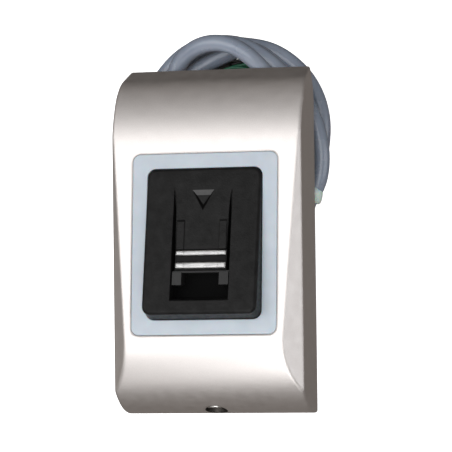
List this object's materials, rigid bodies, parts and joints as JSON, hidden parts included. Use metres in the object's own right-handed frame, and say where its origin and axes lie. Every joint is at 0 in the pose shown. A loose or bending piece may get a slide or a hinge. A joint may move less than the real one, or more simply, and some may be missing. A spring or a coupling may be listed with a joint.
{
  "type": "fingerprint scanner terminal",
  "caption": "Slim wall terminal with a sloping satin metal housing, a translucent light frame, a raised black swipe-sensor block and a coiled cable behind it.",
  "frame": {"origin": "centre of the wall face of the mounting plate, midway between the two wall screw holes", "axes": "+X to the terminal's right seen from the front, +Y towards its top edge, +Z out of its front, away from the wall"},
  "size_m": [0.0529, 0.1019, 0.039],
  "materials": {
    "housing": "satin metallic paint",
    "light_guide": "translucent, fine matt",
    "black_plastic": "fine spark-eroded texture",
    "black_satin": "satin",
    "bright_metal": "polished",
    "sensor_glass": "gloss",
    "led": "clear",
    "board": "solder mask",
    "chip": "matt",
    "connector": "natural nylon",
    "ribbon": "film",
    "screw_steel": "zinc plated",
    "plate_steel": "galvanised",
    "seal_rubber": "matt",
    "plunger_plastic": "satin",
    "cable_jacket": "soft gloss",
    "tie_nylon": "natural nylon",
    "sleeve_black": "heat-shrink",
    "wire_mix": "insulation",
    "wire_green": "insulation",
    "wire_red": "insulation",
    "wire_black": "insulation",
    "wire_white": "insulation",
    "wire_yellow": "insulation",
    "wire_blue": "insulation"
  },
  "bodies": {
    "housing": {"front_housing": "housing", "light_frame": "light_guide", "sensor_block": "black_plastic", "sensor_holder": "black_satin", "sensor_package": "black_satin", "drive_bars": "bright_metal", "sensor_stripe": "sensor_glass", "led_board": "board", "status_leds": "led", "sensor_ribbon": "ribbon", "ribbon_socket": "connector", "main_board": "board", "processor": "chip", "flash_memory": "chip", "bus_driver": "chip", "voltage_regulator": "chip", "buzzer": "chip", "crystal": "bright_metal", "capacitors": "bright_metal", "board_screws": "screw_steel", "cover_screws": "screw_steel", "block_screws": "screw_steel", "back_cover": "black_plastic", "cover_seal": "seal_rubber", "cable_grommet": "seal_rubber", "inner_wires": "wire_mix", "cable_plug": "connector", "cable_header": "connector", "tamper_switch": "chip", "tamper_spring": "screw_steel", "wall_plate": "plate_steel", "lock_nut": "screw_steel", "cable_lead": "cable_jacket", "cable_coil": "cable_jacket", "cable_tie": "tie_nylon", "cable_tail": "cable_jacket", "end_sleeve": "sleeve_black", "green_wire": "wire_green", "red_wire": "wire_red", "black_wire": "wire_black", "white_wire": "wire_white", "yellow_wire": "wire_yellow", "blue_wire": "wire_blue"},
    "tamper_plunger": {"tamper_plunger": "plunger_plastic"},
    "lock_screw": {"lock_screw": "screw_steel"}
  },
  "joints": [
    {"name": "tamper_press", "type": "slide", "parent": "housing", "child": "tamper_plunger", "axis": [0, 0, 1], "range_m": [0, 0.0011], "stiffness_N_per_m": 150, "springref_m": -0.0015, "deforming": ["tamper_spring"]},
    {"name": "lock_turn", "type": "hinge", "parent": "housing", "child": "lock_screw", "pos_m": [0, -0.0425, 0.007], "axis": [0, -1, 0], "continuous": true}
  ]
}
